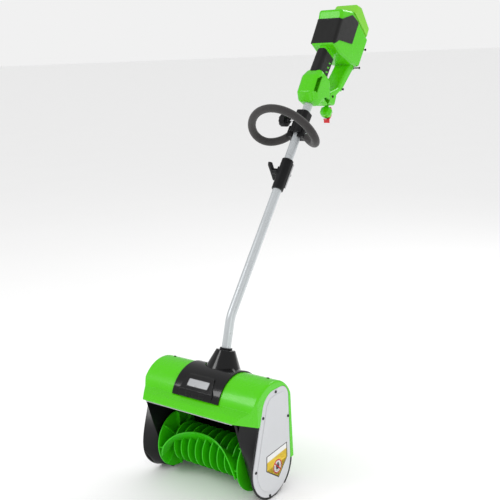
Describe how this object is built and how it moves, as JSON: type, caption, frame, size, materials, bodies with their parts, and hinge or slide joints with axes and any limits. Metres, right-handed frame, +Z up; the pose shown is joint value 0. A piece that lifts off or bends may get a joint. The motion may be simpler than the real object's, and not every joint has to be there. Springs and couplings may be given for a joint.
{
  "type": "snow blower",
  "caption": "Battery snow thrower: belt-driven paddle auger under a hooded housing, on a bent two-piece pole with a loop handle and a rear power handle.",
  "frame": {"origin": "on the ground directly under the auger's axis, at the middle of the machine's width", "axes": "+X across the machine along the auger's axis, towards the belt drive (the operator's right seen from the front); -Y forward, the way the intake faces; +Z up"},
  "size_m": [0.3844, 0.8941, 1.2584],
  "materials": {
    "green_plastic": "glossy",
    "auger_green": "satin",
    "black_gloss": "glossy",
    "black_matte": "matte",
    "grip_rubber": "matte",
    "loop_foam": "matte",
    "cover_grey": "satin",
    "tube_silver": "satin",
    "screw_black": "satin",
    "steel": "satin",
    "cast_alloy": "matte",
    "scraper_black": "matte",
    "label_yellow": "satin",
    "belt_rubber": "matte",
    "bearing_steel": "polished",
    "motor_steel": "satin",
    "pulley_nylon": "matte",
    "lead_rubber": "matte",
    "brass_contact": "polished",
    "board_green": "matte",
    "clip_red": "glossy",
    "trigger_grey": "satin",
    "button_grey": "satin",
    "cell_wrap": "satin"
  },
  "bodies": {
    "head": {"auger_housing": "black_matte", "hood_cover": "green_plastic", "motor_cover": "black_gloss", "shaft_boot": "black_gloss", "boot_ring": "black_matte", "drive_side_cover": "cover_grey", "idle_side_cover": "cover_grey", "side_cover_screws": "screw_black", "hood_screws": "screw_black", "scraper_blade": "scraper_black", "rear_wear_strip": "scraper_black", "motor_can": "motor_steel", "motor_bracket": "cast_alloy", "drive_belt": "belt_rubber", "drive_bearing": "bearing_steel", "idle_bearing": "bearing_steel", "shaft_socket": "cast_alloy", "socket_screws": "steel", "hazard_label": "label_yellow", "lower_tube": "tube_silver", "motor_lead": "lead_rubber", "lower_connector": "black_matte", "coupler_sleeve": "black_matte", "coupler_bolt": "steel", "coupler_strip": "steel"},
    "auger": {"auger_shaft": "steel", "auger_drum": "auger_green", "paddle_front": "auger_green", "paddle_back": "auger_green", "driven_pulley": "pulley_nylon"},
    "motor_rotor": {"motor_shaft": "steel", "drive_pulley": "pulley_nylon"},
    "coupler_knob": {"coupler_knob": "black_matte"},
    "release_button": {"release_button": "button_grey"},
    "handle": {"upper_tube": "tube_silver", "upper_connector": "black_matte", "upper_lead": "lead_rubber", "handle_shell_left": "green_plastic", "handle_shell_right": "green_plastic", "handle_screws": "screw_black", "grip_sleeve": "grip_rubber", "control_saddle": "grip_rubber", "trigger_switch": "black_matte", "control_board": "board_green", "terminal_block": "black_matte", "strap_knob": "green_plastic"},
    "loop_slider": {"clamp_liner": "grip_rubber"},
    "loop": {"clamp_left": "black_matte", "clamp_right": "black_matte", "clamp_bolt": "steel", "loop_tube": "tube_silver", "loop_grip": "loop_foam"},
    "loop_knob": {"loop_knob": "black_matte"},
    "trigger": {"trigger": "trigger_grey"},
    "lock_button": {"lock_button": "black_matte"},
    "battery": {"battery_case": "green_plastic", "battery_cells": "cell_wrap", "battery_contacts": "brass_contact"},
    "battery_latch": {"battery_latch": "button_grey"},
    "strap_clip": {"strap_clip": "clip_red"}
  },
  "joints": [
    {"name": "auger_spin", "type": "hinge", "parent": "head", "child": "auger", "pos_m": [0, 0, 0.088], "axis": [1, 0, 0], "continuous": true},
    {"name": "motor_spin", "type": "hinge", "parent": "head", "child": "motor_rotor", "pos_m": [0, 0.018, 0.236], "axis": [1, 0, 0], "continuous": true},
    {"name": "coupler_knob_turn", "type": "hinge", "parent": "head", "child": "coupler_knob", "pos_m": [0, 0.35786, 0.79373], "axis": [-1, 0, 0], "range_deg": [0, 360]},
    {"name": "release_button_press", "type": "slide", "parent": "head", "child": "release_button", "axis": [0, -0.8007, 0.599], "range_m": [0, 0.003], "stiffness_N_per_m": 400, "springref_m": -0.002},
    {"name": "pole_slide", "type": "slide", "parent": "head", "child": "handle", "axis": [0, 0.599, 0.8007], "range_m": [0, 0.055]},
    {"name": "loop_slide", "type": "slide", "parent": "handle", "child": "loop_slider", "axis": [0, 0.599, 0.8007], "range_m": [-0.065, 0.025]},
    {"name": "loop_swivel", "type": "hinge", "parent": "loop_slider", "child": "loop", "pos_m": [0, 0.45251, 0.92024], "axis": [0, 0.599, 0.8007], "range_deg": [-45, 45]},
    {"name": "loop_knob_turn", "type": "hinge", "parent": "loop", "child": "loop_knob", "pos_m": [0, 0.43649, 0.93222], "axis": [-1, 0, 0], "range_deg": [0, 360]},
    {"name": "trigger_pull", "type": "hinge", "parent": "handle", "child": "trigger", "pos_m": [0, 0.55696, 1.03817], "axis": [1, 0, 0], "range_deg": [0, 8], "stiffness_Nm_per_rad": 0.5, "springref_deg": -5.73},
    {"name": "lock_press", "type": "slide", "parent": "handle", "child": "lock_button", "axis": [1, 0, 0], "range_m": [0, 0.003], "stiffness_N_per_m": 400, "springref_m": -0.002},
    {"name": "battery_slide", "type": "slide", "parent": "handle", "child": "battery", "axis": [0, 0.599, 0.8007], "range_m": [0, 0.08]},
    {"name": "battery_latch_press", "type": "slide", "parent": "handle", "child": "battery_latch", "axis": [0, -0.0837, -0.9965], "range_m": [0, 0.003], "stiffness_N_per_m": 500, "springref_m": -0.002},
    {"name": "strap_clip_swing", "type": "hinge", "parent": "handle", "child": "strap_clip", "pos_m": [0, 0.58888, 0.94561], "axis": [1, 0, 0], "range_deg": [-35, 0], "stiffness_Nm_per_rad": 0.05, "springref_deg": 17.19}
  ],
  "couplings": [
    {"joint": "motor_spin", "follows": "auger_spin", "ratio": 3.9286}
  ]
}
